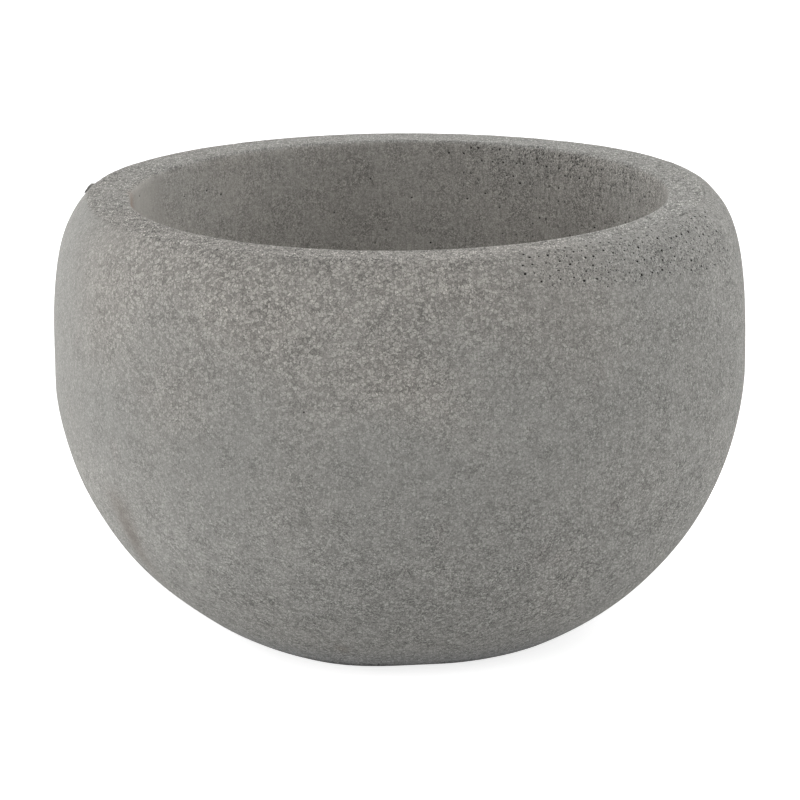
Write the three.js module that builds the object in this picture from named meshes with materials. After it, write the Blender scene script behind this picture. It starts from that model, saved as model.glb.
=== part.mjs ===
// A concrete bowl planter: one thick cast bowl with a drain hole through its base, and the
// ribbed rubber stopper that closes the hole from inside.
// Millimetres, +Z up. The origin is the centre of the foot, on the floor.
import * as THREE from "three";

// ---- Driving dimensions: millimetres, and degrees where a name ends in Angle ----

// The bowl's outside: a round underside, the widest ring (the belly), and a shoulder that
// turns in to a level rim.
const bellyRadius = 210;
const bellyHeight = 168;
const bowlHeight = 267.5;
const footRadius = 103;
const rimRadius = 188; // outer edge of the level rim, where the shoulder ends in a soft crease
const shoulderLeanAngle = 40; // how far the shoulder leans inwards where it meets the rim
const shoulderFullness = 0.84; // how far up the shoulder stays close to upright, as a share of its rise
const shoulderTurn = 0.155; // how softly it turns in below the rim, as a share of its rise

// The hollow: a plain drafted core, so the wall is thickest at the belly.
const rimWidth = 26; // from the rim's outer edge to the mouth
const lipRound = 2; // eased inner edge of the mouth
const wallDraftAngle = 1.5; // the hollow narrows downwards, to let the core out of the mould
const hollowCornerRadius = 80; // from the wall into the flat floor
const floorThickness = 30;

// The drain hole, cast by a tapered pin, and the round seat sunk in the floor around it.
const drainRadius = 13; // at the underside, where the hole is narrowest
const drainDraftAngle = 2;
const edgeRound = 1.5; // the concrete edges of the hole and its seat
const fingerGap = 6; // between the stopper's head and the seat's wall, for a fingertip

// The stopper.
const headRadius = 21;
const headThickness = 4;
const headCrown = 1.2; // rise of the domed top
const headSink = 0.8; // the dome stays this far below the floor, so that a pot stands flat
const ribHeight = 1.4; // the sealing ribs above the shank between them
const ribPitch = 6;
const ribLand = 0.8; // flat crest of each rib
const tipInset = 2; // the shank ends this far above the underside
const tipRound = 2.5;

const fitGap = 0.3; // between the stopper and the concrete that it closes on

// Smoothness of the round forms: steps around, and along each curve of a profile.
const bowlSegments = 80;
const stopperSegments = 32;
const undersideSteps = 12;
const shoulderSteps = 13;
const hollowCornerSteps = 8;
const roundSteps = 3;
const crownSteps = 3;

// ---- Sizes worked out from them ----

const radians = THREE.MathUtils.degToRad;
const seatRadius = headRadius + fingerGap;
const seatDepth = fitGap + headThickness + headCrown + headSink;
const seatHeight = floorThickness - seatDepth;

// The drain hole's radius at a height.
const drainRadiusAt = (z) => drainRadius + z * Math.tan(radians(drainDraftAngle));

// ---- Profiles: radius and height, anticlockwise around the material ----

const point = (radius, height) => new THREE.Vector2(radius, height);

// A round arc between two angles, in degrees from the outward direction.
function arc(centre, radius, fromAngle, toAngle, steps) {
  const clockwise = toAngle < fromAngle;
  const curve = new THREE.EllipseCurve(
    centre.x, centre.y, radius, radius, radians(fromAngle), radians(toAngle), clockwise,
  );
  return curve.getPoints(steps);
}

// The underside: the one arc that is upright at the belly and ends on the foot's edge.
function undersideProfile() {
  const inset = bellyRadius - footRadius;
  const radius = (inset ** 2 + bellyHeight ** 2) / (2 * inset);
  const centre = point(bellyRadius - radius, bellyHeight);
  const footAngle = Math.atan2(-centre.y, footRadius - centre.x);
  return arc(centre, radius, THREE.MathUtils.radToDeg(footAngle), 0, undersideSteps);
}

// The shoulder: upright at the belly, leaning inwards by the lean angle at the rim's edge.
function shoulderProfile() {
  const rise = bowlHeight - bellyHeight;
  const lean = radians(shoulderLeanAngle);
  const curve = new THREE.CubicBezierCurve(
    point(bellyRadius, bellyHeight),
    point(bellyRadius, bellyHeight + shoulderFullness * rise),
    point(
      rimRadius + shoulderTurn * rise * Math.sin(lean),
      bowlHeight - shoulderTurn * rise * Math.cos(lean),
    ),
    point(rimRadius, bowlHeight),
  );
  return curve.getPoints(shoulderSteps);
}

// The hollow: the eased lip, the drafted wall, and the large corner down to the floor, each
// tangent to the next.
function hollowProfile() {
  const draft = radians(wallDraftAngle);
  const lipCentre = point(rimRadius - rimWidth + lipRound, bowlHeight - lipRound);
  const cornerHeight = floorThickness + hollowCornerRadius;
  const cornerInset =
    (lipRound + hollowCornerRadius) / Math.cos(draft) +
    (lipCentre.y - cornerHeight) * Math.tan(draft);
  const cornerCentre = point(lipCentre.x - cornerInset, cornerHeight);
  return [
    ...arc(lipCentre, lipRound, 90, 180 - wallDraftAngle, roundSteps),
    ...arc(cornerCentre, hollowCornerRadius, -wallDraftAngle, -90, hollowCornerSteps),
  ];
}

// The seat around the drain hole, and the hole down to the underside, with eased edges.
function drainProfile() {
  const topRadius = drainRadiusAt(seatHeight);
  return [
    ...arc(point(seatRadius + edgeRound, floorThickness - edgeRound), edgeRound, 90, 180, roundSteps),
    point(seatRadius, seatHeight),
    ...arc(point(topRadius + edgeRound, seatHeight - edgeRound), edgeRound, 90, 180, roundSteps),
    ...arc(point(drainRadius + edgeRound, edgeRound), edgeRound, 180, 270, roundSteps),
  ];
}

// One sealing rib of the stopper: a slope that leads it into the hole, a crest that meets the
// hole's wall, and a ledge back to the shank.
function ribProfile(bottom) {
  const crestTop = bottom + ribHeight + ribLand;
  const wallAt = (z) => drainRadiusAt(z) - fitGap;
  return [
    point(wallAt(bottom) - ribHeight, bottom),
    point(wallAt(bottom + ribHeight), bottom + ribHeight),
    point(wallAt(crestTop), crestTop),
    point(wallAt(crestTop) - ribHeight, crestTop),
  ];
}

// The stopper from the middle of its tip, up its ribbed shank, round its head and over the crown.
function stopperProfile() {
  const headUnderside = seatHeight + fitGap;
  const headRound = headThickness / 2;
  const shankRadiusAt = (z) => drainRadiusAt(z) - fitGap - ribHeight;
  const ribs = Math.floor((headUnderside - tipInset - tipRound) / ribPitch);
  const firstRib = tipInset + tipRound;

  const profile = [
    point(0, tipInset),
    ...arc(point(shankRadiusAt(tipInset) - tipRound, firstRib), tipRound, -90, 0, roundSteps),
  ];
  for (let i = 0; i < ribs; i++) profile.push(...ribProfile(firstRib + (i + 0.5) * ribPitch));
  profile.push(point(shankRadiusAt(headUnderside), headUnderside));

  const edgeCentre = point(headRadius - headRound, headUnderside + headRound);
  profile.push(...arc(edgeCentre, headRound, -90, 90, 2 * roundSteps));

  const crownRadius = (edgeCentre.x ** 2 + headCrown ** 2) / (2 * headCrown);
  const crownTop = headUnderside + headThickness + headCrown;
  const crownEdge = THREE.MathUtils.radToDeg(Math.acos(edgeCentre.x / crownRadius));
  const crown = arc(point(0, crownTop - crownRadius), crownRadius, crownEdge, 90, crownSteps);
  profile.push(...crown.slice(1, -1), point(0, crownTop));
  return profile;
}

// ---- Pieces ----

// A solid turned about the Z axis.
function turned(profile, segments) {
  return new THREE.LatheGeometry(profile, segments).rotateX(Math.PI / 2);
}

const concrete = new THREE.MeshStandardMaterial({ color: 0x8c8a86, roughness: 0.92, metalness: 0 });
const rubber = new THREE.MeshStandardMaterial({ color: 0x1e1e1f, roughness: 0.7, metalness: 0 });

function concreteBowl() {
  const outside = [...undersideProfile(), ...shoulderProfile().slice(1)];
  const inside = [...hollowProfile(), ...drainProfile()];
  const closed = [...outside, ...inside, outside[0].clone()];
  const bowl = new THREE.Mesh(turned(closed, bowlSegments), concrete);
  bowl.name = "concrete_bowl";
  return bowl;
}

function drainStopper() {
  const stopper = new THREE.Mesh(turned(stopperProfile(), stopperSegments), rubber);
  stopper.name = "drain_stopper";
  return stopper;
}

const planter = new THREE.Group();
planter.add(concreteBowl(), drainStopper());

export default planter;
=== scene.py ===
"""Looks of a concrete bowl planter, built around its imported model.

The bowl is one closed surface, worked out from its profile on a grid of rows and columns. It is a
little uneven, as a hand-filled casting is, with a worn rim that was cut narrower at the front
right, air holes cut into it and a burr left on its shoulder. The stopper in its floor is moulded
rubber. Lengths are in metres unless a comment or a docstring says millimetres. A turn is an angle
round the bowl, from the front (-Y) towards the right (+X).
"""
import math

import bpy
import numpy as np
from mathutils import Matrix, Vector


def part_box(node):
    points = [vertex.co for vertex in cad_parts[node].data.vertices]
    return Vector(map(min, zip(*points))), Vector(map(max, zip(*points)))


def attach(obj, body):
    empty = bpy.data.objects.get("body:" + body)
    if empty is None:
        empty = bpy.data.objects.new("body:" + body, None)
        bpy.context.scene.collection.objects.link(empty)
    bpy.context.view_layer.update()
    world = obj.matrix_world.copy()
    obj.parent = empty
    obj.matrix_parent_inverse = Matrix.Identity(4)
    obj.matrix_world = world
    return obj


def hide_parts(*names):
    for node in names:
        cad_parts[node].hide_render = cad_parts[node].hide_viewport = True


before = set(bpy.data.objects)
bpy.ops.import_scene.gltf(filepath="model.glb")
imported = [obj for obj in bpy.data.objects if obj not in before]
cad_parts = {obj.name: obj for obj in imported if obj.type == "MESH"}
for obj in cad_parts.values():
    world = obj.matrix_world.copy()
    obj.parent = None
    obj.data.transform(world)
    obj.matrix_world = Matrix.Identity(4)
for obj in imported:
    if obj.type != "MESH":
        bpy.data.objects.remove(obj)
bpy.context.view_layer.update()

MM = 0.001

# ---- Sizes of the bowl, as cast ----
_, bowl_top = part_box("concrete_bowl")
BELLY_RADIUS = bowl_top.x
BOWL_HEIGHT = bowl_top.z
BELLY_HEIGHT = 168 * MM
FOOT_RADIUS = 103 * MM
RIM_RADIUS = 188 * MM
SHOULDER_LEAN = math.radians(40)
SHOULDER_FULLNESS = 0.84
SHOULDER_TURN = 0.155
RIM_WIDTH = 26 * MM
LIP_ROUND = 2 * MM
WALL_DRAFT = math.radians(1.5)
HOLLOW_CORNER = 80 * MM
FLOOR_THICKNESS = 30 * MM
DRAIN_RADIUS = 13 * MM
DRAIN_DRAFT = math.radians(2)
EDGE_ROUND = 1.5 * MM
SEAT_RADIUS = 27 * MM
SEAT_DEPTH = 6.3 * MM
MOUTH_RADIUS = RIM_RADIUS - RIM_WIDTH

# ---- Sizes of the stopper ----
HEAD_RISE = 5.2 * MM  # from the head's underside to the top of its dome
HEAD_ROUND = 2 * MM
TIP_ROUND = 2.5 * MM
SHANK_GAP = 1.7 * MM  # between the shank and the wall of the drain hole

# ---- How finely the surfaces are laid out ----
COLUMNS = 420
STOPPER_COLUMNS = 96
PROFILE_STEP = 0.2 * MM
EDGE_EASE, DRAIN_EASE, ZONE_FADE = 4, 2, 12  # reach of the outline's blurs, in profile steps
ROW_GAPS = {  # from one row of the bowl to the next, in millimetres
    "foot": 10, "underside": 3.3, "shoulder": 2.7, "rim": 2.4, "lip": 1.2, "wall": 4.2,
    "corner": 6.5, "floor": 9, "seat": 1.7, "hole": 2.2,
}
HOLE_SIDES = 8
HOLE_POINTS = 3 * HOLE_SIDES + 1  # three rings and the point at the bottom


# ---- Curves ----
def arc(centre, radius, start, end, count):
    """Points of a circle: centre plus radius times (cosine, sine), from one angle to another."""
    angle = np.linspace(start, end, count)
    return np.stack([centre[0] + radius * np.cos(angle), centre[1] + radius * np.sin(angle)], 1)


def line(start, end, count):
    """Points evenly spaced on a straight line."""
    return np.linspace(start, end, count)


def bezier(a, b, c, d, count):
    """Points of the cubic curve from a to d that leaves towards b and arrives from c."""
    t = np.linspace(0, 1, count)[:, None]
    a, b, c, d = (np.array(p) for p in (a, b, c, d))
    return (1 - t) ** 3 * a + 3 * (1 - t) ** 2 * t * b + 3 * (1 - t) * t**2 * c + t**3 * d


def blurred(values, reach):
    """A closed run of points averaged with a bell-shaped weight, whose spread is reach steps. It
    is cut off at three times that."""
    tail = 3 * reach
    weight = np.exp(-0.5 * (np.arange(-tail, tail + 1) / reach) ** 2)
    weight /= weight.sum()
    padded = np.concatenate([values[-tail:], values, values[:tail]])
    return np.stack([np.convolve(padded[:, k], weight, "valid") for k in range(values.shape[1])], 1)


def step(low, high, values):
    """Smoothly 0 below low and 1 above high."""
    t = np.clip((values - low) / (high - low), 0, 1)
    return t * t * (3 - 2 * t)


def hill(values, centre, width):
    """A bell of height 1 around centre."""
    return np.exp(-0.5 * ((values - centre) / width) ** 2)


def window(values, start, end, soft):
    """1 between start and end, fading to 0 over the distance soft beyond each."""
    return step(start - soft, start, values) * (1 - step(end, end + soft, values))


def waves(points, length, count, seed):
    """Smooth noise of about one: a sum of sine waves through space, in random directions, with
    wavelengths around the given length, so that it meets itself all round."""
    rng = np.random.default_rng(seed)
    way = rng.normal(size=(count, 3))
    way /= np.linalg.norm(way, axis=1, keepdims=True)
    way *= 2 * np.pi / (length * rng.uniform(0.7, 1.4, (count, 1)))
    phase = rng.uniform(0, 2 * np.pi, count)
    total = np.zeros(points.shape[:-1])
    for k in range(count):
        total += np.sin(points @ way[k] + phase[k])
    return total * math.sqrt(2 / count)


# ---- Places round the axis ----
def turns(columns):
    """The angle of each column, evenly round the axis."""
    return (np.arange(columns) / columns * 2 * np.pi)[None, :]


def turned_from(angle, centre):
    """How far each angle is from a centre given in degrees, in degrees, the short way round."""
    return (np.degrees(angle) - centre + 180) % 360 - 180


def revolved(radius, height, angle):
    """Points at the given radius and height, turned to each angle: radius times (sine, -cosine)
    of the angle, then the height."""
    return np.stack([radius * np.sin(angle), -radius * np.cos(angle), height + 0 * angle], -1)


def from_axis(place):
    """How far each point is from the axis."""
    return np.hypot(place[..., 0], place[..., 1])


def from_crease(radius, height):
    """How far a place on the section is from the crease at the rim's outer edge."""
    return np.hypot(radius - RIM_RADIUS, height - BOWL_HEIGHT)


def hills_round(table, angle):
    """The hills of a table, added up round the axis. Each row holds the turn and the spread round
    it in degrees, and how tall the hill is."""
    return sum(tall * hill(turned_from(angle, turn), 0, spread) for turn, spread, tall in table)


# ---- The bowl's profile ----
def bowl_profile():
    """The closed outline of the bowl's section, as radius and height, in named stretches: from the
    drain hole's lower edge outwards along the foot, up the outside, over the rim, down the hollow,
    and back through the seat and the drain hole."""
    inset = BELLY_RADIUS - FOOT_RADIUS
    radius = (inset**2 + BELLY_HEIGHT**2) / (2 * inset)
    centre = (BELLY_RADIUS - radius, BELLY_HEIGHT)
    foot_angle = math.atan2(-BELLY_HEIGHT, FOOT_RADIUS - centre[0])
    rise = BOWL_HEIGHT - BELLY_HEIGHT
    lead = SHOULDER_TURN * rise  # from the crease back to the curve's last guiding point
    below_crease = (
        RIM_RADIUS + lead * math.sin(SHOULDER_LEAN), BOWL_HEIGHT - lead * math.cos(SHOULDER_LEAN)
    )
    lip = (MOUTH_RADIUS + LIP_ROUND, BOWL_HEIGHT - LIP_ROUND)
    corner_height = FLOOR_THICKNESS + HOLLOW_CORNER
    corner_inset = (LIP_ROUND + HOLLOW_CORNER) / math.cos(WALL_DRAFT)
    corner_inset += (lip[1] - corner_height) * math.tan(WALL_DRAFT)
    corner = (lip[0] - corner_inset, corner_height)
    seat_height = FLOOR_THICKNESS - SEAT_DEPTH
    hole_top = DRAIN_RADIUS + seat_height * math.tan(DRAIN_DRAFT)
    seat = (SEAT_RADIUS + EDGE_ROUND, FLOOR_THICKNESS - EDGE_ROUND)
    hole = (hole_top + EDGE_ROUND, seat_height - EDGE_ROUND)
    under = (DRAIN_RADIUS + EDGE_ROUND, EDGE_ROUND)
    quarter = math.pi / 2

    lip_edge = arc(lip, LIP_ROUND, quarter, 2 * quarter - WALL_DRAFT, 8)
    hollow_corner = arc(corner, HOLLOW_CORNER, -WALL_DRAFT, -quarter, 160)
    seat_edge = arc(seat, EDGE_ROUND, quarter, 2 * quarter, 6)
    hole_edge = arc(hole, EDGE_ROUND, quarter, 2 * quarter, 6)
    under_edge = arc(under, EDGE_ROUND, 2 * quarter, 3 * quarter, 6)
    return {
        "foot": line((under[0], 0), (FOOT_RADIUS, 0), 60),
        "underside": arc(centre, radius, foot_angle, 0, 300),
        "shoulder": bezier(
            (BELLY_RADIUS, BELLY_HEIGHT),
            (BELLY_RADIUS, BELLY_HEIGHT + SHOULDER_FULLNESS * rise),
            below_crease,
            (RIM_RADIUS, BOWL_HEIGHT),
            200,
        ),
        "rim": line((RIM_RADIUS, BOWL_HEIGHT), (lip[0], BOWL_HEIGHT), 40),
        "lip": lip_edge,
        "wall": line(lip_edge[-1], hollow_corner[0], 200),
        "corner": hollow_corner,
        "floor": line(hollow_corner[-1], seat_edge[0], 60),
        "seat": np.concatenate([seat_edge, line((SEAT_RADIUS, seat_height), hole_edge[0], 20)]),
        "hole": np.concatenate([hole_edge, under_edge]),
    }


def profile_rows():
    """The outline's rows: radius and height, outward normal, and the stretch each lies in. The
    outline is blurred by a millimetre or two, which eases every edge, and less in the drain. The
    rows lie closest at the rim's crease."""
    names, points = [], []
    for name, run in bowl_profile().items():
        length = np.concatenate([[0], np.cumsum(np.linalg.norm(np.diff(run, axis=0), axis=1))])
        count = max(int(length[-1] / PROFILE_STEP), 4)
        at = np.linspace(0, length[-1], count, endpoint=False)
        points.append(np.stack([np.interp(at, length, run[:, 0]), np.interp(at, length, run[:, 1])], 1))
        names += [name] * count
    names, points = np.array(names), np.concatenate(points)
    drain = np.isin(names, ["seat", "hole"]).astype(float)[:, None]
    drain = np.clip(blurred(drain, ZONE_FADE) * 2, 0, 1)
    soft = blurred(points, EDGE_EASE)
    points = soft + (blurred(points, DRAIN_EASE) - soft) * drain
    tangent = np.roll(points, -1, 0) - np.roll(points, 1, 0)
    tangent /= np.linalg.norm(tangent, axis=1, keepdims=True)
    normal = np.stack([tangent[:, 1], -tangent[:, 0]], 1)

    gap = np.array([ROW_GAPS[name] for name in names]) * MM
    gap = blurred(gap[:, None], ZONE_FADE)[:, 0]
    gap *= 1 - 0.6 * hill(from_crease(points[:, 0], points[:, 1]), 0, 2 * MM)
    rows_before = np.cumsum(PROFILE_STEP / gap)
    count = int(rows_before[-1])
    pick = np.searchsorted(rows_before, (np.arange(count) + 0.5) * rows_before[-1] / count)
    return points[pick], normal[pick], names[pick]


# ---- Unevenness ----
# How far single places of the casting stand out from its round form: the turn and the spread
# round it in degrees, then the height, the push and the spread upwards in millimetres.
LUMPS = (
    (166, 12, 262, -0.8, 9),
    (238, 20, 262, 2.0, 14),
    (125, 18, 262, 1.6, 12),
    (272, 8, 258, -1.0, 9),
    (270, 30, 150, 0.5, 60),
    (288, 10, 20, -1.3, 12),
)
# The foot's edge spreads or draws in on the floor, and the rim was cut back: the turn and the
# spread round it in degrees, and how far in millimetres.
FOOT_LUMPS = ((-20, 10, 3.2), (5, 7, -1.8), (62, 14, 1.2), (150, 20, -1.5), (235, 16, 1.4))
RIM_CUTS = ((48, 22, 6), (95, 35, 3))


def levelled_edge(angle):
    """The radius at which the level rim ends. It was cut narrower at the front right, where the
    shoulder rounds over onto it."""
    return RIM_RADIUS - hills_round(RIM_CUTS, angle) * MM


def unevenness(smooth, angle, height, outside, rim, hollow):
    """How far each place stands out along its normal: long and short waves, grit near the rim, and
    the single lumps. The rim was levelled, so it only has shallow hollows. The foot stays flat."""
    near_rim = step(-14 * MM, -2 * MM, height - BOWL_HEIGHT) * np.clip(outside + rim, 0, 1)
    swell = waves(smooth, length=170 * MM, count=14, seed=7) * 0.16 * MM
    dents = waves(smooth, length=38 * MM, count=30, seed=8) * 0.06 * MM
    grit = waves(smooth, length=9 * MM, count=60, seed=9) * 0.08 * MM
    push = swell + dents + grit * near_rim
    for turn, spread, up, out, rise in LUMPS:
        single = hill(turned_from(angle, turn), 0, spread) * hill(height, up * MM, rise * MM)
        push = push + single * out * MM * outside
    rim_hollows = -0.05 * MM - 0.6 * np.abs(0.5 * swell + dents + grit)
    push = push * (outside + 0.7 * hollow) + rim_hollows * rim
    return blurred(push, 1) * np.clip(height / (12 * MM), 0, 1)


def rounded_crease(radius, height, angle):
    """How far the shoulder and the rim fall away towards the crease where the rim was cut back: by
    the square of how near the crease is, over the width that was lost."""
    rounding = RIM_RADIUS - levelled_edge(angle) + 0.1 * MM
    return 0.23 * np.clip(rounding - from_crease(radius, height), 0, None) ** 2 / rounding


def foot_spread(radius, height, angle):
    """How far the foot's edge spreads on the floor, fading upwards and towards the axis."""
    spread = hills_round(FOOT_LUMPS, angle) * MM
    return spread * np.exp(-height / (9 * MM)) * step(60 * MM, 100 * MM, radius)


def worn(place, radius, height, angle, hollow):
    """The rows near the crease drawn towards their neighbours, unevenly and most at the front."""
    share = window(turned_from(angle, 0), -60, 12, 20)
    share = share * (0.5 + 0.2 * waves(place, length=60 * MM, count=16, seed=10))
    share = np.clip(share + 0.12, 0, 1) * hill(from_crease(radius, height), 0, 7 * MM) * (1 - hollow)
    for _ in range(4):
        eased = (np.roll(place, 1, 0) + np.roll(place, -1, 0) + 2 * place) / 4
        place = place + (eased - place) * share[..., None]
    return place


def kept_in_box(place):
    """The points eased inwards over the last half millimetre, so that none passes the belly's
    radius, and none left below the floor or above the rim."""
    ease = 0.5 * MM
    limit = BELLY_RADIUS - 0.02 * MM
    reach = from_axis(place)
    over = np.clip(reach - (limit - ease), 0, None)
    allowed = reach - over + ease * np.tanh(over / ease)
    inside = place * np.stack([allowed / reach, allowed / reach, np.ones_like(reach)], -1)
    inside[..., 2] = np.clip(inside[..., 2], 0, BOWL_HEIGHT)
    return inside


def bowl_grid():
    """Positions of the bowl's rows and columns, the masks of its zones, each column's angle and
    each row's height. A place is the profile turned about the axis, plus its outward normal times
    its unevenness, less the crease's rounding, plus the foot's spread, then worn at the crease."""
    profile, normal, zone = profile_rows()
    angle = turns(COLUMNS)
    radius, height = profile[:, :1], profile[:, 1:]
    outside = np.isin(zone, ["underside", "shoulder"]).astype(float)[:, None]
    rim = np.isin(zone, ["rim", "lip"]).astype(float)[:, None]
    hollow = np.isin(zone, ["wall", "corner", "floor"]).astype(float)[:, None]

    smooth = revolved(radius, height, angle)
    outward = revolved(normal[:, :1], normal[:, 1:], angle)
    push = unevenness(smooth, angle, height, outside, rim, hollow)
    push = push - rounded_crease(radius, height, angle)
    place = smooth + outward * push[..., None]
    sideways = revolved(1 + 0 * radius, 0 * height, angle)
    place = place + sideways * (foot_spread(radius, height, angle) * (1 - hollow))[..., None]
    place = kept_in_box(worn(place, radius, height, angle, hollow))

    beyond = step(-0.6 * MM, 0.6 * MM, from_axis(place) - levelled_edge(angle))
    masks = {
        "outside": np.clip(outside + rim * beyond, 0, 1),
        "rim": rim * (1 - beyond),
        "hollow": hollow + 0 * angle,
    }
    return place, masks, angle, height


# ---- Air holes ----
def hole_zones(masks, angle, height):
    """Where air holes cluster, from 0 to 1: on the shoulder at the front right, in a band below
    the rim that widens towards the right, and in the hollow at the back right, thickest under the
    lip."""
    below_rim = BOWL_HEIGHT - height
    turn = turned_from(angle, 0)
    lowest = (16 + 0.25 * (turn - 25)) * MM
    shoulder = window(turn, 26, 68, 7) * window(below_rim, 3 * MM, lowest, 6 * MM)
    lip = window(turn, 104, 156, 14) * (0.35 + 0.65 * (1 - step(3 * MM, 22 * MM, below_rim)))
    lip = lip * (1 - step(24 * MM, 66 * MM, below_rim))
    return shoulder * masks["outside"], lip * masks["hollow"]


def hole_cells(place, masks, angle, height):
    """Row, column and radius of each air hole: a seeded scatter, dense in the two clusters and
    sparse everywhere else. No two holes take neighbouring cells. The radius is 0.44 to 0.94 mm,
    small ones the commoner, and a fifth less in the hollow."""
    rng = np.random.default_rng(21)
    shoulder, lip = hole_zones(masks, angle, height)
    upper_hollow = masks["hollow"] * step(150 * MM, 220 * MM, height)
    chance = 0.9 * shoulder + 0.75 * lip + 0.0005 * masks["outside"] + 0.006 * upper_hollow
    chosen = rng.random(place.shape[:2]) < chance
    chosen[:2] = chosen[-2:] = False
    rows, columns = np.nonzero(chosen)
    free = np.ones(place.shape[:2], bool)
    keep = []
    for k in rng.permutation(len(rows)):
        around = np.ix_(rows[k] + np.arange(-1, 2), (columns[k] + np.arange(-1, 2)) % COLUMNS)
        if free[around].all():
            free[rows[k], columns[k]] = False
            keep.append(k)
    rows, columns = rows[keep], columns[keep]
    shrink = 1 - 0.2 * masks["hollow"][rows, columns]
    size = (0.44 + 0.5 * rng.random(len(rows)) ** 1.3) * shrink * MM
    return rows, columns, size


def with_holes(place, rows, columns, size):
    """Vertices, the faces in four runs, and which vertices lie in a hole. Each chosen cell of the
    grid gives way to a ring of eight points, two deeper and narrower rings, and a point at the
    bottom: the cell's centre plus the ring's reach times (cosine, sine) in the cell's plane, plus
    the depth inwards. Both are shares of the hole's size, and the rings are a little uneven."""
    index = np.arange(place[..., 0].size).reshape(place.shape[:2])
    above, beside = np.roll(index, -1, 0), np.roll(index, -1, 1)
    quads = np.stack([index, beside, np.roll(above, -1, 1), above], -1)
    open_cells = np.zeros(index.shape, bool)
    open_cells[rows, columns] = True
    cells = quads[rows, columns]
    flat = place.reshape(-1, 3)
    corners = flat[cells]
    centre = corners.mean(1)
    right = corners[:, 1] + corners[:, 2] - corners[:, 0] - corners[:, 3]
    right /= np.linalg.norm(right, axis=1, keepdims=True)
    up = corners[:, 2] + corners[:, 3] - corners[:, 0] - corners[:, 1]
    up -= right * (up * right).sum(1, keepdims=True)
    up /= np.linalg.norm(up, axis=1, keepdims=True)
    inward = -np.cross(right, up)

    rng = np.random.default_rng(5)
    around = np.arange(HOLE_SIDES) * np.pi / 4 - 3 * np.pi / 4
    wobble = 1 + 0.12 * rng.normal(size=(len(rows), HOLE_SIDES)).clip(-1.5, 1.5)
    squeeze = rng.uniform(0.75, 1, (len(rows), 1))
    rings = []
    for share, depth in ((1, 0), (0.86, 0.55), (0.5, 1.05)):
        reach = size[:, None] * wobble * share
        ring = centre[:, None] + right[:, None] * (reach * np.cos(around))[..., None]
        ring = ring + up[:, None] * (reach * squeeze * np.sin(around))[..., None]
        ring = ring + inward[:, None] * (size[:, None, None] * depth)
        rings.append(ring)
    bottom = centre + inward * size[:, None] * 1.25
    new = np.concatenate([*rings, bottom[:, None]], 1)
    first = len(flat) + np.arange(len(rows))[:, None] * HOLE_POINTS
    top, middle, low = (first + np.arange(HOLE_SIDES) + HOLE_SIDES * k for k in range(3))
    end = first + 3 * HOLE_SIDES
    triangles, pit_triangles, pit_quads = [], [], []
    for side in range(4):
        a, b = cells[:, side], cells[:, (side + 1) % 4]
        p, q, s = top[:, 2 * side], top[:, 2 * side + 1], top[:, (2 * side + 2) % HOLE_SIDES]
        triangles += [np.stack(t, 1) for t in ((a, q, p), (a, b, q), (b, s, q))]
    for k in range(HOLE_SIDES):
        n = (k + 1) % HOLE_SIDES
        for outer, inner in ((top, middle), (middle, low)):
            pit_quads.append(np.stack([outer[:, k], outer[:, n], inner[:, n], inner[:, k]], 1))
        pit_triangles.append(np.stack([low[:, k], low[:, n], end[:, 0]], 1))
    vertices = np.concatenate([flat, new.reshape(-1, 3)])
    # The vertices below a hole's top ring are painted dark in the material, as the shade inside it.
    in_hole = np.zeros(len(vertices))
    in_hole[middle.ravel()] = in_hole[low.ravel()] = in_hole[end.ravel()] = 1
    parts = {
        "quads": quads[~open_cells],
        "triangles": np.concatenate(triangles),
        "pit_quads": np.concatenate(pit_quads),
        "pit_triangles": np.concatenate(pit_triangles),
    }
    return vertices, parts, in_hole


def burr(turn=-100, radius=190.6 * MM, height=265.2 * MM):
    """A sliver of concrete left standing on the shoulder's top: an uneven ellipsoid of rings
    between two poles, longest down the shoulder. Returns its vertices, four-sided and three-sided
    faces, and how dark each vertex is, as painted shade that deepens towards its lower, outer end."""
    rings, sides = 6, 12
    length, proud, width = 5.4 * MM, 2.0 * MM, 1.5 * MM
    around = turns(sides)
    down = (np.arange(rings)[:, None] + 1) / (rings + 1) * np.pi
    rng = np.random.default_rng(3)
    swell = 1 + 0.16 * rng.normal(size=(rings, sides)).clip(-1.5, 1.5)
    along = length * swell * np.cos(down) + 0 * around
    out = proud * swell * np.sin(down) * np.cos(around)
    side = width * swell * np.sin(down) * np.sin(around)
    poles = [(length, 0, 0), (-length, 0, 0)]
    shell = np.concatenate([np.stack([along, out, side], -1).reshape(-1, 3), poles])
    turn = math.radians(turn)
    outward = np.array([math.sin(turn), -math.cos(turn), 0])
    up = np.array([0, 0, 1])
    lean = math.sqrt(0.5)
    axes = np.array([(outward - up) * lean, (outward + up) * lean, np.cross(up, outward)])
    place = outward * radius + up * height + shell @ axes
    place[:, 2] = np.minimum(place[:, 2], BOWL_HEIGHT - 0.1 * MM)
    index = np.arange(rings * sides).reshape(rings, sides)
    beside = np.roll(index, -1, 1)
    quads = np.stack([index[:-1], index[1:], beside[1:], beside[:-1]], -1).reshape(-1, 4)
    fans = np.concatenate([
        np.stack([index[0], beside[0], np.full(sides, index.size)], 1),
        np.stack([beside[-1], index[-1], np.full(sides, index.size + 1)], 1),
    ])
    return place, quads, fans, 0.15 + 0.6 * step(-0.2 * length, 0.6 * length, shell[:, 0])


# ---- Single marks ----
# Each is a row: the turn and the spread round it in degrees, the height and the spread upwards in
# millimetres, and how strong it is.
SMEARS = (
    (-56.8, 2.6, 102, 9, 0.7),
    (-57.5, 2.1, 84, 9, 0.9),
    (-59.2, 1.8, 66, 10, 0.65),
    (-15, 1.1, 22, 2.5, 0.9),
    (61, 0.8, 62, 2, 0.5),
    (-9, 0.6, 238, 1.4, 0.6),
)
RUST = ((-92, 2.2, 259, 5, 1.0), (-84, 1.2, 256, 2.5, 0.4))
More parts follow.
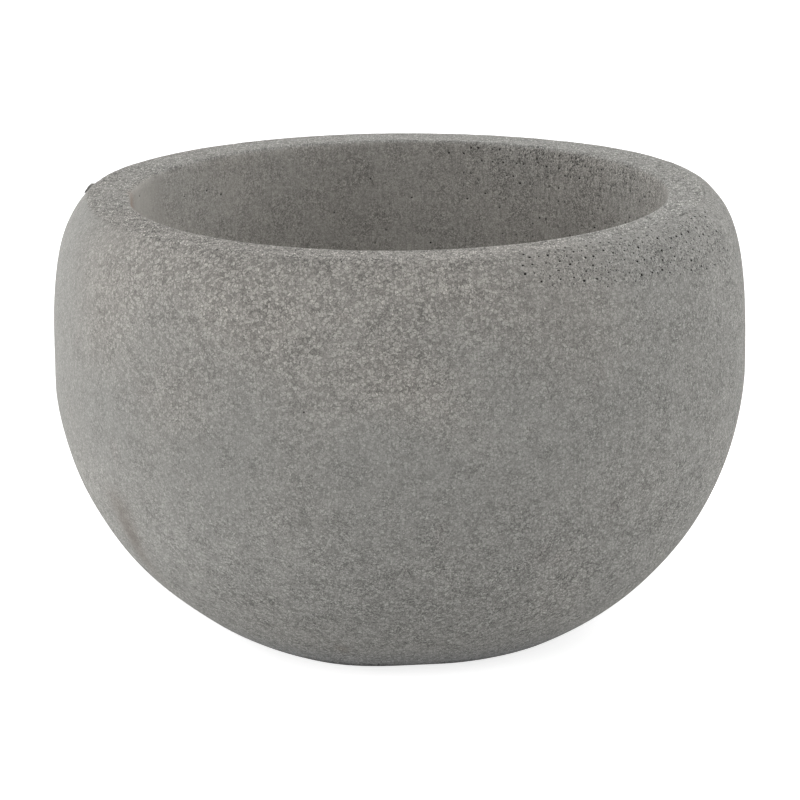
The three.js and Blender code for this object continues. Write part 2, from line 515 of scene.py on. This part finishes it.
# Broad patches in which the concrete dried paler, or darker where the last number is negative,
# with painted light among them: the front of the rim's top has painted shade and its back a
# painted highlight, and the last row is painted shadow, the dark line where the foot meets the floor.
PATCHES = (
    (5, 45, 250, 14, 0.1),
    (-10, 34, 215, 26, 0.05),
    (46, 24, 252, 12, -0.08),
    (52, 20, 180, 30, -0.025),
    (22, 10, 178, 24, 0.045),
    (-27, 12, 88, 28, 0.055),
    (50, 30, 100, 46, 0.06),
    (18, 14, 258, 9, 0.05),
    (65, 26, 267.5, 3, 0.07),
    (-52, 17, 92, 34, 0.14),
    # Painted shade on the front of the rim's top, then a painted highlight on its back.
    (-20, 45, 267.5, 3, -0.1),
    (180, 60, 267.5, 4, 0.05),
    (40, 60, 5, 18, -0.06),
    # Painted shadow: the dark line where the foot meets the floor.
    (10, 120, 0, 3, -0.75),
)
WALL_PATCHES = (
    (-101, 9, 258, 26, 0.32),
    (-128, 22, 235, 50, 0.12),
    (180, 40, 180, 60, 0.06),
    (128, 26, 262, 22, -0.12),
    (-156, 20, 256, 20, 0.09),
    (-112, 14, 195, 40, 0.04),
)
# Hairline chips along the rim's inner and outer edge, those on the outer edge partly painted shade
# in its crease: the turn, the spread round it, the strength.
INNER_CHIPS = ((-112, 2, 0.7), (-121, 4, 0.9), (-135, 4, 0.8), (-146, 2.5, 0.5), (-92, 2, 0.6))
OUTER_CHIPS_AND_CREASE_SHADE = ((41, 3.5, 0.5), (50, 2.5, 0.6), (58, 3, 0.8), (66, 2, 0.8), (84, 9, 0.75))
CHIP_WIDTH = 0.8 * MM


def marks(table, angle, height):
    """The single marks of a table, laid over each other."""
    total = 0 * angle * height
    for turn, spread, up, rise, strength in table:
        spot = hill(turned_from(angle, turn), 0, spread) * hill(height, up * MM, rise * MM)
        total = total + strength * spot
    return np.clip(total, -1, 1)


def chips(table, angle, reach, edge):
    """The dark marks of a table, along the edge at that distance from the axis: chips, which on the
    outer crease are partly painted shade.
    """
    return np.clip(hills_round(table, angle), 0, 1) * hill(reach, edge, CHIP_WIDTH)


def finish_zones(place, masks, angle, height):
    """Where the concrete's finish changes, mostly from 0 to 1, under the names that its material
    reads, painted shade and painted highlight among them. "bite" is how strongly the finish's detail
    shows, and "patch" how much paler it is."""
    outside, rim, hollow = masks["outside"], masks["rim"], masks["hollow"]
    shoulder_holes, lip_holes = hole_zones(masks, angle, height)
    turn = turned_from(angle, 0)
    reach = from_axis(place)
    drift = 0.3 * waves(place, length=70 * MM, count=20, seed=31)
    upper = step(150 * MM, 250 * MM, height + drift * 25 * MM)
    low_down = 1 - step(50 * MM, 160 * MM, height)
    right, left, left_half, far = (
        hill(turned_from(angle, centre), 0, spread)
        for centre, spread in ((90, 42), (-105, 42), (-70, 55), (180, 50))
    )

    flaky = window(turn, -44, 6, 30) * upper
    outside_bite = 1.15 + 0.25 * flaky + 0.5 * right + 0.65 * low_down - 0.3 * left * (1 - low_down)
    bare_band = window(turn, -114, -84, 3) * step(170 * MM, 230 * MM, height)
    bite = outside * outside_bite + (2.3 - 0.8 * far) * rim
    bite = bite + hollow * (1.9 + 1.1 * lip_holes) * (1 - 0.6 * bare_band)

    left_rim = window(turn, -100, -66, 10) * step(168 * MM, 180 * MM, reach)
    rough = rim * (0.65 + 0.5 * drift) + left_rim * (rim + 0.5 * outside * upper)
    rough = rough + 0.4 * lip_holes + 0.5 * shoulder_holes
    warm = 0.9 * hollow + window(turn, -55, 20, 25) * upper + 0.6 * rim * left_half + drift * 0.3

    # A painted highlight along the front of the rim's inner edge, added to the patches below.
    lip_edge = hill(reach, MOUTH_RADIUS + 1 * MM, 0.9 * MM) * rim * window(turn, -75, 75, 20)
    patch = marks(PATCHES, angle, height) * (1 - hollow)
    patch = patch + marks(WALL_PATCHES, angle, height) * hollow + 0.1 * lip_edge

    inner_chips = chips(INNER_CHIPS, angle, reach, MOUTH_RADIUS + 0.6 * MM)
    inner_chips = inner_chips * step(264.3 * MM, 265.6 * MM, height)
    # Along the outer edge the dark dashes are partly chips and partly painted shade in the crease.
    outer_chips_and_crease_shade = chips(OUTER_CHIPS_AND_CREASE_SHADE, angle, reach, levelled_edge(angle) + 0.3 * MM)
    outer_chips_and_crease_shade = outer_chips_and_crease_shade * step(255 * MM, 262 * MM, height) * (1 - hollow)
    rust = marks(RUST, angle, height) * (1 - step(162 * MM, 167 * MM, reach)) * (1 - outside)
    return {
        "hollow": hollow,
        "rim": rim,
        "flaky": np.clip(flaky + drift * 0.3, 0, 1) * outside,
        "bite": bite,
        "pitted": np.clip(shoulder_holes + lip_holes, 0, 1),
        "rough": np.clip(rough, 0, 1),
        "warm": np.clip(warm, 0, 1),
        # Painted shade: the outside darker and cooler towards the foot's edge.
        "damp": (1 - step(4 * MM, 26 * MM, height)) * (1 - hollow),
        "smear": marks(SMEARS, angle, height) * outside,
        "patch": patch,
        "chip": inner_chips + outer_chips_and_crease_shade,
        "rust": rust,
    }


# ---- Meshes ----
def mesh_object(name, vertices, faces, flat=None):
    """A mesh of the given runs of faces, smooth apart from those in the slice flat."""
    mesh = bpy.data.meshes.new(name)
    mesh.from_pydata(vertices.tolist(), [], [tuple(f) for run in faces for f in run.tolist()])
    smooth = np.ones(len(mesh.polygons), bool)
    if flat is not None:
        smooth[flat] = False
    mesh.polygons.foreach_set("use_smooth", smooth)
    mesh.validate()
    mesh.update()
    piece = bpy.data.objects.new(name, mesh)
    bpy.context.scene.collection.objects.link(piece)
    return piece


def note(piece, name, values):
    """Stores a number for each vertex under a name that the material reads."""
    attribute = piece.data.attributes.new(name, "FLOAT", "POINT")
    attribute.data.foreach_set("value", np.ascontiguousarray(values, np.float32))


def dress(piece, material, body, node):
    """Gives a piece its material and body, and hides the CAD node it stands for."""
    piece.data.materials.append(material)
    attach(piece, body)
    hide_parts(node)


def make_bowl(material):
    """The bowl's grid with its air holes cut in and the burr set on it, and the marks and zones
    that its finish reads. The air holes' walls are flat-shaded."""
    place, masks, angle, height = bowl_grid()
    rows, columns, size = hole_cells(place, masks, angle, height)
    vertices, parts, in_hole = with_holes(place, rows, columns, size)
    before_pits = len(parts["quads"]) + len(parts["triangles"])
    pits = len(parts["pit_quads"]) + len(parts["pit_triangles"])
    crumb, crumb_quads, crumb_fans, crumb_dark = burr()
    nearest = np.linalg.norm(place - crumb.mean(0), axis=-1).argmin()
    faces = [*parts.values(), crumb_quads + len(vertices), crumb_fans + len(vertices)]
    vertices = np.concatenate([vertices, crumb])
    vertices[:, 2] = np.clip(vertices[:, 2], 0, BOWL_HEIGHT)
    bowl = mesh_object("bowl_casting", vertices, faces, slice(before_pits, before_pits + pits))
    # Painted shade inside the air holes and on the burr.
    note(bowl, "hole", np.concatenate([in_hole, crumb_dark]))
    for name, values in finish_zones(place, masks, angle, height).items():
        grid = np.broadcast_to(values, place.shape[:2])
        cut = np.repeat(grid[rows, columns], HOLE_POINTS)
        note(bowl, name, np.concatenate([grid.ravel(), cut, np.full(len(crumb), grid.flat[nearest])]))
    dress(bowl, material, "bowl", "concrete_bowl")


def stopper_profile():
    """The stopper's section, as radius and height, from the middle of its tip up its ribbed shank
    and over its domed head: quarter rounds joined by straight runs. The dome falls by the square
    of the radius and has a shallow ring pressed into it."""
    low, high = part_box("drain_stopper")
    head_radius, crown_top, tip = high.x, high.z, low.z
    head_under = crown_top - HEAD_RISE
    down, near_top, rib_half = -math.pi / 2, 0.42 * math.pi, 0.45 * math.pi
    first_rib, rib_pitch, rib_count = 5.5, 6, 3  # millimetres above the tip, and how many
    rib_round, rib_stand = 1.4 * MM, 0.1 * MM
    dome_edge, dome_rise = head_radius - 2.5 * MM, 1.1 * MM
    ring_depth, ring_radius, ring_width = 0.35 * MM, 12.5 * MM, 0.8 * MM

    def shank(z):
        """The shank's radius at a height."""
        return DRAIN_RADIUS + z * math.tan(DRAIN_DRAFT) - SHANK_GAP

    points = [line((0, tip), (shank(tip) - TIP_ROUND, tip), 4)[:-1]]
    points.append(arc((shank(tip) - TIP_ROUND, tip + TIP_ROUND), TIP_ROUND, down, 0, 7))
    for rib in range(rib_count):
        z = tip + (first_rib + rib_pitch * rib) * MM
        points.append(arc((shank(z) + rib_stand, z), rib_round, -rib_half, rib_half, 9))
    points.append(np.array([(shank(head_under), head_under)]))
    edge = (head_radius - HEAD_ROUND, head_under + HEAD_ROUND)
    points.append(arc(edge, HEAD_ROUND, down, near_top, 14))
    across = np.linspace(1, 0, 16)[1:] * dome_edge
    dome = crown_top - dome_rise * (across / head_radius) ** 2
    dome -= ring_depth * hill(across, ring_radius, ring_width)
    points.append(np.stack([across, dome], 1))
    return np.concatenate(points)


def make_stopper(material):
    """The profile carried round the axis, closed at both poles."""
    profile = stopper_profile()
    ring = profile[1:-1]
    grid = revolved(ring[:, :1], ring[:, 1:], turns(STOPPER_COLUMNS))
    index = np.arange(grid[..., 0].size).reshape(grid.shape[:2])
    beside = np.roll(index, -1, 1)
    quads = np.stack([index[:-1], beside[:-1], beside[1:], index[1:]], -1).reshape(-1, 4)
    ends = np.array([(0, 0, profile[0, 1]), (0, 0, profile[-1, 1])])
    under, over = (np.full(STOPPER_COLUMNS, pole) for pole in (index.size, index.size + 1))
    fans = [np.stack([under, beside[0], index[0]], 1), np.stack([index[-1], beside[-1], over], 1)]
    vertices = np.concatenate([grid.reshape(-1, 3), ends])
    stopper = mesh_object("rubber_stopper", vertices, [quads, *fans])
    dress(stopper, material, "stopper", "drain_stopper")


# ---- Shader maths ----
# The sockets of a Mix node that hold its share and its two colours, and the mixed colour.
MIX_SHARE, MIX_FIRST, MIX_SECOND, MIX_RESULT = 0, 6, 7, 2


def feed(tree, socket, value):
    """Links a Value or another node's socket to a socket, or else sets the socket to the value."""
    source = value.socket if isinstance(value, Value) else value
    if isinstance(source, bpy.types.NodeSocket):
        tree.links.new(source, socket)
    else:
        socket.default_value = source


def add_node(tree, kind, settings=None, inputs=None):
    """A node of a kind: its settings first, then its sockets' values or links, by name or place."""
    node = tree.nodes.new(kind)
    for name, value in (settings or {}).items():
        setattr(node, name, value)
    for key, value in (inputs or {}).items():
        feed(tree, node.inputs[key], value)
    return node


class Value:
    """A number that varies over a surface. Python's operators on it add Math nodes."""

    def __init__(self, tree, socket):
        self.tree, self.socket = tree, socket

    def math(self, operation, *values):
        """A Math node of the values, each a number or a Value, in the order given."""
        node = add_node(self.tree, "ShaderNodeMath", {"operation": operation}, dict(enumerate(values)))
        return Value(self.tree, node.outputs[0])

    def __add__(self, other):
        return self.math("ADD", self, other)

    __radd__ = __add__

    def __mul__(self, other):
        return self.math("MULTIPLY", self, other)

    __rmul__ = __mul__

    def __sub__(self, other):
        return self.math("SUBTRACT", self, other)

    def __rsub__(self, other):
        return self.math("SUBTRACT", other, self)

    def clip(self):
        """The number, no lower than 0 and no higher than 1."""
        clipped = self.math("ADD", self, 0.0)
        clipped.socket.node.use_clamp = True
        return clipped


class Finish:
    """A material and the ways in which its nodes are made."""

    def __init__(self, name):
        self.material = bpy.data.materials.new(name)
        self.material.use_nodes = True
        self.tree = self.material.node_tree
        self.shader = self.tree.nodes["Principled BSDF"]
        self.place = self.node("ShaderNodeTexCoord").outputs["Object"]

    def node(self, kind, settings=None, **inputs):
        """A node of a kind, its sockets given by name."""
        return add_node(self.tree, kind, settings, inputs)

    def value(self, socket):
        """A socket's number, for use in expressions."""
        return Value(self.tree, socket)

    def attribute(self, name):
        """A number stored on the mesh."""
        return self.value(self.node("ShaderNodeAttribute", {"attribute_name": name}).outputs["Fac"])

    def stretched(self, *scale):
        """The place with each axis scaled, which draws a pattern out along the smallest."""
        return self.node("ShaderNodeMapping", Vector=self.place, Scale=scale).outputs["Vector"]

    def warped(self, size, reach):
        """The place, shifted by up to about reach in a way that changes over about size."""
        noise = self.node("ShaderNodeTexNoise", Vector=self.place, Scale=1 / size, Detail=2.0)
        sockets = {0: noise.outputs["Color"], 1: (2 * reach,) * 3, 2: self.place}
        shift = add_node(self.tree, "ShaderNodeVectorMath", {"operation": "MULTIPLY_ADD"}, sockets)
        return shift.outputs["Vector"]

    def noise(self, size, detail=2.0, rough=0.5, place=None):
        """Cloudy noise from -1 to 1 with lumps of about the given size."""
        inputs = {"Vector": place or self.place, "Scale": 1 / size, "Detail": detail, "Roughness": rough}
        return (self.value(self.node("ShaderNodeTexNoise", **inputs).outputs["Fac"]) - 0.5) * 2.0

    def cells(self, size, place=None):
        """Scattered points about size apart: the distance to the nearest one, in shares of the
        size, and a number from 0 to 1 that is random for each."""
        node = self.node("ShaderNodeTexVoronoi", Vector=place or self.place, Scale=1 / size)
        shade = self.node("ShaderNodeSeparateColor", Color=node.outputs["Color"]).outputs["Red"]
        return self.value(node.outputs["Distance"]), self.value(shade)

    def gaps(self, size, place=None):
        """The distance to the border between the cells that cells() makes."""
        inputs = {"Vector": place or self.place, "Scale": 1 / size}
        node = self.node("ShaderNodeTexVoronoi", {"feature": "DISTANCE_TO_EDGE"}, **inputs)
        return self.value(node.outputs["Distance"])

    def ramp(self, value, low, high):
        """Smoothly 0 below low and 1 above high."""
        settings = {"interpolation_type": "SMOOTHSTEP"}
        inputs = {"Value": value, "From Min": low, "From Max": high}
        return self.value(self.node("ShaderNodeMapRange", settings, **inputs).outputs["Result"])

    def mix(self, share, first, second, blend="MIX"):
        """Two colours mixed by a share of the second."""
        first, second = ((*c, 1) if isinstance(c, tuple) else c for c in (first, second))
        settings = {"data_type": "RGBA", "blend_type": blend}
        sockets = {MIX_SHARE: share, MIX_FIRST: first, MIX_SECOND: second}
        return add_node(self.tree, "ShaderNodeMix", settings, sockets).outputs[MIX_RESULT]

    def grey(self, value):
        """A number as a colour of three equal parts."""
        node = self.node("ShaderNodeCombineColor", Red=value, Green=value, Blue=value)
        return node.outputs["Color"]

    def bump(self, height, strength, distance):
        """The surface's direction where it is raised by the height."""
        inputs = {"Height": height, "Strength": strength, "Distance": distance}
        return self.node("ShaderNodeBump", **inputs).outputs["Normal"]

    def link(self, **inputs):
        """Joins values to the shader's own sockets, spaces in their names as underscores."""
        for name, value in inputs.items():
            feed(self.tree, self.shader.inputs[name.replace("_", " ")], value)


def seen_directly(tree):
    """1 to the camera, a reflection or glass, and 0 to the light that falls on the object."""
    rays = add_node(tree, "ShaderNodeLightPath").outputs
    seen = Value(tree, rays["Is Camera Ray"]) + Value(tree, rays["Is Glossy Ray"])
    return (seen + Value(tree, rays["Is Transmission Ray"])).clip()


# ---- Materials ----
def concrete():
    """Cast grey concrete. A pale cement skin lies on it in flakes about 2 mm across, boldest high
    on the front, with small pale grains between them and a fine dark network over both, crisp in
    some places and faint in others. The rim is rough, with pale sand and painted glints in it. The
    hollow is warmer and has upright streaks. Air holes too small to cut pepper the two clusters as
    dots of painted shade, and the cut air holes and the burr are painted dark as shade. Chips lie
    along the rim's edges, partly painted shade along its outer crease, and there are a few brown
    smears and a trace of rust. Painted shade darkens and cools the foot, darkens the front of the
    rim and draws a dark line where the foot meets the floor, and painted highlight brightens the
    back of the rim and the front of its inner edge."""
    finish = Finish("cast_concrete")
    names = "hole hollow rim flaky bite pitted rough warm damp smear chip patch rust"
    zone = {name: finish.attribute(name) for name in names.split()}
    outside = 1 - zone["hollow"]

    broad = finish.noise(55 * MM, 3)
    cloud = finish.noise(14 * MM, 3)
    sand = finish.noise(0.9 * MM, 2, 0.7)
    bent = finish.warped(1.7 * MM, 1.2 * MM)
    _, shade = finish.cells(2.3 * MM, bent)
    apart = finish.gaps(2.3 * MM, bent)
    flake = finish.ramp(apart, 0.0, 0.16) * finish.ramp(shade + cloud * 0.16, -0.1, 0.8)
    reach, shade = finish.cells(1.2 * MM, bent)
    grain = (1 - finish.ramp(reach, 0.2, 0.46)) * finish.ramp(shade, 0.35, 0.9)
    lace = finish.noise(1.9 * MM, 3, 0.7, bent)
    lace = 1 - finish.ramp(lace.math("ABSOLUTE", lace), 0.0, 0.22)
    crisp = finish.ramp(finish.noise(13 * MM, 4, 0.6), -0.3, 0.3) * 0.9 + 0.45
    lace = (lace - 0.35) * crisp + 0.2

    bold = zone["flaky"] * 0.6 + 0.6
    mottle = flake * bold * 0.4 + grain * (bold * 0.36 + 0.1) - lace * 0.3 - bold * 0.1 - 0.02
    drawn = finish.stretched(1, 0.4, 1)
    reach, shade = finish.cells(1.4 * MM, drawn)
    # glint: painted highlights on small grains of the rim.
    glint = (1 - finish.ramp(reach, 0.15, 0.42)) * finish.ramp(shade, 0.4, 0.8)
    trowel_marks_and_glints = finish.noise(1.5 * MM, 3, 0.7, drawn) * 0.3 + glint * 0.55
    speckle = sand * (zone["rough"] * 0.3 + 0.34) + zone["rim"] * trowel_marks_and_glints
    streaks = finish.noise(1.3 * MM, 2, 0.6, finish.stretched(1, 1, 0.15))
    wall = streaks * 0.14 + grain * 0.24 - lace * 0.3 + finish.noise(3 * MM, 3, 0.6) * 0.22 + 0.12
    detail = speckle + outside * mottle + zone["hollow"] * wall
    tone = 1 + broad * 0.05 + cloud * 0.07 + zone["patch"] + detail * zone["bite"]
    # Painted shade, darker towards the foot.
    tone = tone * (1 - zone["damp"] * 0.08)

    pink = finish.ramp(finish.noise(26 * MM, 2), 0.25, 0.6) * outside
    ground = finish.mix(zone["warm"], (0.283, 0.279, 0.262), (0.289, 0.277, 0.256))
    ground = finish.mix(pink * 0.25, ground, (0.294, 0.266, 0.252))
    # Painted shade, cooler towards the foot.
    ground = finish.mix(zone["damp"] * 0.6, ground, (0.27, 0.274, 0.276))
    colour = finish.mix(1.0, ground, finish.grey(tone), "MULTIPLY")
    colour = finish.mix(zone["smear"] * 0.6, colour, (0.17, 0.147, 0.128))
    colour = finish.mix(zone["rust"] * 0.5, colour, (0.33, 0.215, 0.155))

    # Dots of painted shade, for air holes too small to cut.
    reach, shade = finish.cells(1.7 * MM)
    small_holes = (1 - finish.ramp(reach, 0.16, 0.28)) * finish.ramp(shade, 0.1, 0.25)
    small_holes = small_holes * zone["pitted"]
    # Dark chips along the rim's edges, partly painted shade along its outer crease.
    chipped_and_crease_shade = finish.ramp(zone["chip"] + finish.noise(3 * MM, 2) * 0.3, 0.3, 0.8)
    # Painted shade: the cut air holes, the burr and the dots for air holes too small to cut go
    # near-black.
    dark = (zone["hole"] * 0.95 + small_holes * 0.9 + chipped_and_crease_shade * 0.6).clip()
    colour = finish.mix(dark, colour, (0.012, 0.011, 0.01))

    relief = sand * (zone["rough"] * 1.4 + 0.5) + outside * flake * bold - lace * 0.6
    relief = relief - small_holes * 3
    normal = finish.bump(relief, 0.5, 0.16 * MM)
    finish.link(Base_Color=colour, Roughness=0.88, Specular_IOR_Level=0.3, Normal=normal)
    return finish.material


def rubber():
    """Black moulded rubber, dulled by cement dust that lies in patches."""
    finish = Finish("black_rubber")
    dust = finish.ramp(finish.noise(7 * MM, 4, 0.6), -0.1, 0.6)
    fine = finish.noise(0.9 * MM, 2)
    colour = finish.mix(dust * 0.5, (0.012, 0.012, 0.013), (0.05, 0.048, 0.045))
    normal = finish.bump(fine, 0.25, 0.08 * MM)
    finish.link(Base_Color=colour, Roughness=dust * 0.2 + 0.55, Normal=normal)
    return finish.material


# ---- The stage ----
def camera():
    """The photograph's view: 15 degrees down, from 2.5 m, with a hair of roll."""
    pitch = math.radians(14.85)
    roll = math.radians(0.544)
    distance = 12 * BELLY_RADIUS
    aim = Vector((0, 0, 0.6 * BELLY_RADIUS))
    back = Vector((0, -math.cos(pitch), math.sin(pitch)))
    data = bpy.data.cameras.new("camera")
    data.sensor_width = 36
    data.lens = 185.1
    data.shift_x, data.shift_y = -0.001, 0.0224
    eye = bpy.data.objects.new("camera", data)
    turn = (-back).to_track_quat("-Z", "Y").to_matrix().to_4x4() @ Matrix.Rotation(-roll, 4, "Z")
    eye.matrix_world = Matrix.Translation(aim + distance * back) @ turn
    bpy.context.scene.collection.objects.link(eye)
    bpy.context.scene.camera = eye


def softbox(name, turn, rise, watts, size=1.76, distance=3.2):
    """A square lamp aimed at the bowl, at a turn round it and an angle above it, in degrees."""
    turn, rise = math.radians(turn), math.radians(rise)
    out = Vector((math.cos(rise) * math.sin(turn), -math.cos(rise) * math.cos(turn), math.sin(rise)))
    data = bpy.data.lights.new(name, "AREA")
    data.size, data.energy = size, watts
    lamp = bpy.data.objects.new(name, data)
    aim = Vector((0, 0, 0.13))
    facing = (-out).to_track_quat("-Z", "Y").to_matrix().to_4x4()
    lamp.matrix_world = Matrix.Translation(aim + distance * out) @ facing
    lamp.visible_camera = False
    bpy.context.scene.collection.objects.link(lamp)


def lights():
    """Soft boxes all round and above, strongest from the back left."""
    softbox("front_left_box", -20, 40, 25)
    softbox("front_right_box", 45, 40, 26)
    softbox("left_box", -70, 12, 44)
    softbox("right_box", 95, 12, 30)
    softbox("back_left_box", -120, 12, 61)
    softbox("back_right_box", 120, 40, 35)
    softbox("top_box", 180, 63, 38)


def surroundings():
    """A world that gives no light and is white where the camera looks past everything, and in
    reflections."""
    world = bpy.data.worlds.new("studio")
    bpy.context.scene.world = world
    world.use_nodes = True
    background = world.node_tree.nodes["Background"]
    background.inputs["Color"].default_value = (1, 1, 1, 1)
    feed(world.node_tree, background.inputs["Strength"], seen_directly(world.node_tree))


def floor():
    """A wide white disc. It glows a little, as a lit studio floor does, and more where the camera
    or a reflection sees it, which leaves only the bowl's own soft shadow on white."""
    radius, sides = 6, 64
    finish = Finish("white_floor")
    glow = finish.mix(seen_directly(finish.tree), (0.306, 0.306, 0.306), (0.8, 0.8, 0.8))
    finish.link(Base_Color=(0.6, 0.6, 0.6, 1), Roughness=1.0, Specular_IOR_Level=0.0)
    finish.link(Emission_Color=glow, Emission_Strength=1.0)
    angle = np.arange(sides) / sides * 2 * np.pi
    ring = np.stack([radius * np.cos(angle), radius * np.sin(angle), 0 * angle], 1)
    stage = mesh_object("floor", ring, [np.arange(sides)[None, :]])
    stage.data.materials.append(finish.material)


bpy.context.scene.view_settings.view_transform = "Standard"
camera()
lights()
surroundings()
floor()

make_bowl(concrete())
make_stopper(rubber())
